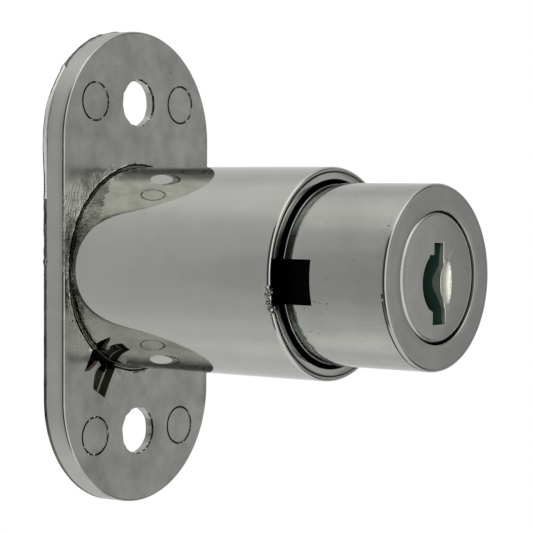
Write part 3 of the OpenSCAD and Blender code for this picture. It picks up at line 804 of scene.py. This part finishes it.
def makeHousing(p):
    shape = bmesh.new()
    addRings(shape, housingRings(p), loop=True)
    piece = newPiece("housingCasting", shape)
    carve(piece, pocketCutter(p))
    carve(piece, frontCutter(p))
    # the same groove through the land, a hair narrower so that no two cuts share a wall
    half = p["grooveWidth"] / 2 - 0.01
    land = turned(box(0, p["chamberRadius"] - 0.1, -half, half), p["grooveAngle"])
    carveRings(piece, "landCutter", prism(land, p["landBack"] - 1, p["landFront"] + 1))
    carve(piece, footCutter(p))
    length, deep = p["tubeLength"], p["slotDepth"]
    slotArea = widened(p["slot"], 0.06)
    wedgeArea = widened(p["wedge"], 0.06)

    def choose(x, y, h, normal):
        r = hypot(x, y)
        angle = degrees(atan2(y, x)) % 360
        if h > p["sideBegins"]:
            # the bore and the key groove: painted shade
            inGroove = r < p["grooveRadius"] + near and h < length - 0.01
            if r < p["mouthRadius"] + 0.02 or inGroove:
                return "rawZincInShade"
            torn = scarGrowth(p, angle, h)
            if torn > near and r > p["outerPart"]:
                return "tornMetal" if torn > 0.1 else "castFlash"
            return "polishedNickel"
        if p["slotEnds"] < h < -near and r > p["outerPart"]:
            if insideOutline(x, y, slotArea):
                # inside the slot: painted shade, darkest in the well by the tube
                if r < p["wellRadius"] + near or h < -deep - near:
                    return "rawZincInShade"
                if h < 0.12 - deep:
                    # flat floor in shade, its bevelled seam a painted highlight
                    return "shadedSlotFloor" if abs(normal.y) > 0.9 else "seamHighlight"
                return "shadedSlotWall"
            if insideOutline(x, y, wedgeArea):
                # wedge: painted copper highlight on the upper wall, painted shade below
                return "copperStrikeHighlight" if h > -p["copperHighlightDepth"] else "rawZincInShade"
        if r < p["insideEnds"]:
            return "rawZincInShade"
        if h < -0.08 and r < p["footEnds"]:
            # the witness line is painted dark as the shade in its groove, the boss behind it
            # plated
            return "rawZincInShade" if h > -0.5 else "castNickel"
        if h < 0.1 and r < p["tubeRadius"] + 0.6 * footStep(p, angle):
            # step beside the tube: painted shade in the corner of the foot
            return "footCornerShade"
        fromMark = hypot(abs(x) - p["markX"], abs(y) - p["screwGap"] / 2) - p["markRadius"]
        if abs(fromMark) < 0.13 and -0.5 < h < -0.035:
            return "rawZincInShade" if rough(x * 3, y * 3, 2, 0.7) < 0.25 else "polishedNickel"
        fromHole = hypot(x, abs(y) - p["screwGap"] / 2) - p["screwRadius"]
        if abs(fromHole) < 0.2 and -0.17 < h < -0.01 and rough(x * 2, y * 2, 6, 0.5) > -0.1:
            return "rawZincInShade"
        outside = hypot(*stadiumPoint(x / r, y / r, 0, 0))
        if h < p["flashFront"] and r > outside - 0.25:
            # ledge of the flash at the upper left: painted highlight
            first, last = p["flashHighlight"]
            return "flashHighlight" if h > -2.62 and first < angle < last else "castFlash"
        if r > outside - 0.02 and h < -0.3:
            return "linishedNickel"
        # skin folded by the flow of the metal, beside the foot and round the slot
        folds = sum(reach * bumpAt(angle, middle, half) for middle, half, reach in p["folds"])
        if h > -0.2 and r - p["tubeRadius"] < folds + 0.8 * rough(x, y, 1, 0.9):
            return "foldedNickel"
        return "castNickel"

    names = ("polishedNickel", "castNickel", "foldedNickel", "linishedNickel", "rawZincInShade",
             "castFlash", "copperStrikeHighlight", "shadedSlotWall", "shadedSlotFloor", "seamHighlight", "footCornerShade",
             "tornMetal", "flashHighlight")
    finishSurface(piece, names, choose, 24)
    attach(piece, "housing")
    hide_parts("housing")


makeHousing(housing)
print("housing made")


# ---- head ----
head = {
    "radius": 9.35, "face": 39.3, "back": 26.75, "bore": 8.03, "wall": 1.2,
    "recess": 6.65, "recessEdge": 0.12, "edge": 0.32,
    "notchLength": 3.6, "notchWidth": 4.55, "notchAngle": 182.8,
    "band": 1.24,               # turned band at the back edge, a little lower than the side
    # outline of that band: out from the side, and height above the back edge
    "bandBack": [(-0.30, 0.0), (-0.24, 0.02), (-0.15, 0.10), (-0.09, 0.16), (-0.10, 0.22),
                 (-0.165, 0.27), (-0.16, 0.5)],
    # and height from the band's front edge
    "bandFront": [(-0.15, -0.6), (-0.13, -0.18), (-0.05, -0.08), (-0.01, 0.0), (0.0, 0.08),
                  (0.0, 1.2)],
    "torn": 0.02, "tornFrom": 190,      # roughness of the band, most past that angle
    "rubbed": (186, 263),               # angles of the dull line along the front corner
    "steps": 384,
}


def makeHead(p):
    r, face, back = p["radius"], p["face"], p["back"]
    floor = face - p["wall"]
    band = back + p["band"]
    edge, lip = p["edge"], p["recessEdge"]
    profile = [(p["bore"], back)]
    profile += [(r + away, back + up) for away, up in p["bandBack"]]
    profile += [(r + away, band + up) for away, up in p["bandFront"]]
    profile += [(r, back + 6), (r, face - 1), (r, face - 0.7), (r, face - 0.5)]
    profile += roundedEdge(r - edge, face - edge, edge, 15)
    profile += [(r - 0.6, face), (p["recess"] + 0.8, face)]
    profile += [(p["recess"] + lip * (1 - sin(t)), face - lip * (1 - cos(t)))
                for t in (radians(a) for a in range(0, 91, 11))]
    profile += [(p["recess"], face - 0.5), (p["recess"], floor), (p["bore"], floor)]
    rings = []
    for radius, h in profile:
        torn = p["torn"] if back < h < band + 0.02 and radius > r - 0.5 else 0.0
        ring = []
        for i, (c, s, _) in enumerate(circle(1, 0, p["steps"])):
            share = 0.2 + 0.45 * smoothStep((360 * i / p["steps"] - p["tornFrom"]) / 25)
            nick = torn * share * rough(c * r, s * r, h * 2, 0.5)
            low = torn * share * 0.9 * rough(c * r, s * r, 3, 1.2)
            ring.append(((radius + nick) * c, (radius + nick) * s, h + low))
        rings.append(ring)
    shape = bmesh.new()
    addRings(shape, rings, loop=True)
    piece = newPiece("headCap", shape)
    half = p["notchWidth"] / 2
    notch = turned(box(2, r + 1, -half, half), p["notchAngle"])
    carveRings(piece, "notchCutter", prism(notch, back - 1, back + p["notchLength"]))

    def choose(x, y, h, normal):
        away = hypot(x, y)
        if away < p["recess"] - 0.05 or h < floor + 0.02 and away < r - 0.5:
            return "rawZincInShade"
        if h > face - edge * 0.4 or (away < r - 1 and h > face - 0.4):
            return "faceNickel"
        if face - 0.72 < h < face - edge:
            # dull broken line along the corner, on the side that hands rub
            angle = degrees(atan2(y, x)) % 360
            broken = rough(x, y, h, 0.5) > 0.42
            first, last = p["rubbed"]
            if first < angle < last and h > face - 0.5 and not broken:
                return "rubbedEdge"
        # wall of the recess round the core, below the face: painted shade
        if away < p["recess"] + 0.05:
            return "faceNickel" if h > face - 0.45 else "rawZincInShade"
        # walls of the notch: painted shade
        inNotch = band + 0.1 < h < back + p["notchLength"] + 0.05
        if inNotch and away < r - near and abs(normal.y) < 0.9:
            return "rawZincInShade"
        if h < band - 0.02:
            return "turnedBand"
        return "headNickel"

    names = ("headNickel", "faceNickel", "rawZincInShade", "turnedBand", "rubbedEdge")
    finishSurface(piece, names, choose, 24)
    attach(piece, "plunger")
    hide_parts("head_cap")


makeHead(head)
print("head made")


# ---- core ----
core = {
    "radius": 5.6, "faceRadius": 6.54, "face": 39.23, "front": 38.13, "back": 24.1,
    "edge": 0.5, "tailWidth": 2.3, "tailBack": 22.65,
    "clipHeight": 24.45, "clipGroove": 0.9, "clipWidth": 0.7,
    "offset": 0.06,             # how far the face sits above the middle of its recess
    # the face rises to its middle by these small steps: radius and height
    "domeSteps": [(5.2, 0.02), (3.9, 0.045), (2.4, 0.06), (1.0, 0.07)],
    "dishAt": (1.45, -0.5), "dishHalf": (0.96, 2.4), "dishDepth": 0.38, "dishSwing": 1.6,
    "keyTop": 3.48, "keyLow": -4.675, "topArm": (-0.7, 0.95), "lowArm": (-0.9, 1.3),
    "bow": 3.25, "bowLeft": -2.75, "bowRight": 0.4, "bowMiddle": -0.5,
    "bowEnds": (2.0, -3.3), "ledge": 0.8, "ledgeHeight": 0.3,
    # the dark line is painted shade along the top of the key slot's wall; the last pair give how
    # far light reaches down that wall
    "keyChamfer": 0.06, "chamferCut": 0.15, "shadeLine": 0.09, "litReach": (0.36, 0.6),
    "wafers": 5, "firstWafer": 35.53, "pitch": 2.2, "waferSlot": 1.0, "waferWidth": 6.8,
    # slot of a wafer's lug and pocket of its spring, beside the wafer
    "waferReach": 6.6, "lugReach": 4.75, "lugSlot": (-0.45, 1.1),
    "springAt": 4.05, "springRadius": 0.62, "springPocket": (-2.9, -0.3),
}


def keyOutline(p):
    # two straight arms joined by a bow to the left, anticlockwise from the top left
    r, middle = p["bow"], p["bowMiddle"]
    high, deep = p["bowEnds"]
    left, right = r + p["bowLeft"], r + p["bowRight"]
    steps = [deep + (high - deep) * i / 20 for i in range(21)]
    bowLeft = [(left - sqrt(r * r - (y - middle) ** 2), y) for y in reversed(steps)]
    bowRight = [(right - sqrt(r * r - (y - middle) ** 2), y) for y in steps]
    top, low, ledge = p["keyTop"], p["keyLow"], high + p["ledgeHeight"]
    a, b = p["topArm"]
    c, d = p["lowArm"]
    points = [(b, top), (a, top), (a, ledge), (a - p["ledge"], ledge)]
    points += [q for q in bowLeft if q[0] < a - p["ledge"] - 0.02]
    points += [(c, deep), (c, low), (d, low), (d, deep + 0.1)]
    points += [q for q in bowRight if deep + 0.2 < q[1] and q[0] < b - 0.02]
    return points


def litWallDepth(p, y):
    # how far down the wall light reaches: a small depth, and deeper in the bow; below it the wall
    # is painted shade
    least, more = p["litReach"]
    return least + more * exp(-((y - p["bowMiddle"]) / 1.35) ** 2)


def makeCore(p):
    face, r = p["face"], p["edge"]
    barrel, top = p["radius"], p["faceRadius"]
    # groove of the core clip
    clipBack = p["clipHeight"] - 0.05
    clipFront, clipFloor = clipBack + p["clipWidth"], barrel - p["clipGroove"]
    profile = [(0.9, p["back"]), (4.2, p["back"]), (barrel, p["back"]), (barrel, clipBack),
               (clipFloor, clipBack), (clipFloor, clipFront), (barrel, clipFront),
               (barrel, p["front"]), (top, p["front"]), (top, face - r)]
    profile += roundedEdge(top - r, face - r, r, 13, 12)
    profile += [(away, face + up) for away, up in p["domeSteps"]]
    shape = bmesh.new()
    addRings(shape, [circle(a, h, 192, (0, p["offset"] if h > p["front"] - 0.01 else 0))
                     for a, h in profile])
    piece = newPiece("coreBarrel", shape)
    half = p["tailWidth"] / 2
    tail = prism(box(-half, half, -half, half), p["tailBack"], p["back"] + 1)
    carveRings(piece, "tail", tail, "UNION")
    # key slot with a small chamfer at the face
    outline = keyOutline(p)
    end = p["firstWafer"] - (p["wafers"] - 1) * p["pitch"] - 1
    lip = face + p["domeSteps"][-1][1] - 0.01 - p["keyChamfer"]
    chamfer = p["chamferCut"]
    keySlot = [level(outline, end), [(x, y, face - litWallDepth(p, y)) for x, y in outline],
               level(outline, lip - p["shadeLine"]), level(outline, lip),
               level(widened(outline, chamfer), lip + chamfer)]
    # dish that leads the key's tip in, cut by a round tool on a round path
    deep = p["dishDepth"]
    tool, path = ((half * half + deep * deep) / (2 * deep) for half in p["dishHalf"])
    floor = face + 0.05 - deep
    dishX, dishY = p["dishAt"]
    rows = []
    for i in range(81):
        swing = (i / 80 - 0.5) * p["dishSwing"]
        row = []
        for k in range(48):
            turn = 2 * pi * k / 48
            away = path - tool + tool * cos(turn)
            row.append((dishX + tool * sin(turn), dishY + away * sin(swing),
                        floor + path - away * cos(swing)))
        rows.append(row)
    carveRings(piece, "dishCutter", rows)
    carveRings(piece, "keyCutter", keySlot)
    slots = bmesh.new()
    pockets = bmesh.new()
    wide, thick = p["waferWidth"] / 2 + 0.05, p["waferSlot"] / 2
    far, lug = p["waferReach"], p["lugReach"]
    lugLow, lugHigh = p["lugSlot"]
    bore, at = p["springRadius"], p["springAt"]
    for i in range(p["wafers"]):
        h = p["firstWafer"] - i * p["pitch"]
        turn = 180 * (i % 2)
        # slot of the wafer with the slot of its lug on one side
        slot = [(-wide, -far), (wide, -far), (wide, lugLow), (lug, lugLow), (lug, lugHigh),
                (wide, lugHigh), (wide, far), (-wide, far)]
        addRings(slots, prism(turned(slot, turn), h - thick, h + thick))
        pocket = [(at + x, h + z) for x, z, _ in circle(bore, 0, 24)]
        side = -1 if turn else 1
        rows = [[(side * x, side * y, z) for x, z in pocket] for y in p["springPocket"]]
        addRings(pockets, rows)
    carve(piece, newPiece("waferCutter", slots))
    carve(piece, newPiece("pocketCutter", pockets))

    def choose(x, y, h, normal):
        inKey = insideOutline(x, y, widened(outline, 0.06))
        if inKey and h < lip - 0.02 and abs(normal.y) < 0.9:
            # painted shade: a thin line at the top of the wall, and the wall below where light
            # reaches
            if lip - p["shadeLine"] < h or h < face - litWallDepth(p, y) * 1.15:
                return "slotDepth"
            return "broachedZinc"
        # deep in the core, the faces inside are painted shade
        if h < face - 1.05:
            inside = abs(x) < 5 and abs(y) < 5.4 and h > p["back"] + 0.1
            return "slotDepth" if inside else "coreNickel"
        halfX, halfY = p["dishHalf"]
        fromDish = ((x - dishX) / halfX) ** 2 + ((y - dishY) / halfY) ** 2
        inDish = fromDish < 1.05 and h < face + 0.02
        # dish and chamfer of the key slot: burnished, with a painted highlight
        if inDish or (inKey and abs(normal.y) < 0.95):
            return "burnishedNickelSheen"
        if h < face - 0.02 and hypot(x, y - p["offset"]) > top - r:
            return "satinNickel"
        return "coreNickel"

    names = ("coreNickel", "satinNickel", "burnishedNickelSheen", "broachedZinc", "slotDepth")
    finishSurface(piece, names, choose, 24)
    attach(piece, "core")
    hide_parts("core_plug")


makeCore(core)
print("core made")


# ---- return spring ----
# It rides on the housing.
spring = {"radius": 7.95, "wire": 0.6, "turns": 3.25, "low": -1.47, "high": 11.34,
          "sides": 16, "stepsPerTurn": 72, "keep": 0.222}


def makeSpring(p):
    # each end turn lies flat for a quarter of a turn, as a wound spring's does
    n = int(p["turns"] * p["stepsPerTurn"])
    low, high = p["low"] + p["wire"] / 2, p["high"] - p["wire"] / 2
    rings = []
    for i in range(n + 1):
        a = 2 * pi * p["turns"] * i / n
        t = smoothStep(i / n) * 0.35 + 0.65 * i / n
        ring = []
        for k in range(p["sides"]):
            b = 2 * pi * k / p["sides"]
            r = p["radius"] + p["wire"] / 2 * cos(b)
            ring.append((r * cos(a), r * sin(a),
                         low + (high - low) * t + p["wire"] / 2 * sin(b)))
        rings.append(ring)
    shape = bmesh.new()
    addRings(shape, rings)
    piece = newPiece("returnSpring", shape)
    finishSurface(piece, ["springWire"], lambda x, y, h, normal: "springWire", 50)
    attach(piece, "housing")
    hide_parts("return_spring")
    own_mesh(piece)


makeSpring(spring)
print("return spring made")


# ---- parts taken over from the CAD ----
cadFinishes = {
    "rear_cap": "turnedSteel", "spring_washer": "turnedSteel", "stop_ring": "springWire",
    "plunger_body": "blackoxSteel", "guide_key": "blackoxSteel", "latch_bolt": "turnedSteel",
    "cross_pin": "springWire", "core_clip": "springWire", "cam_disc": "hardenedSteel",
    "lock_pawl": "hardenedSteel", "pawl_pin": "turnedSteel", "wafer_springs": "springWire",
}
cadFinishes.update({"wafer_%d" % i: "stripBrass" for i in range(1, 6)})

for name, finish in cadFinishes.items():
    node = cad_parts[name]
    node.data.materials.clear()
    node.data.materials.append(metals[finish])
print("CAD parts finished:", len(cadFinishes))
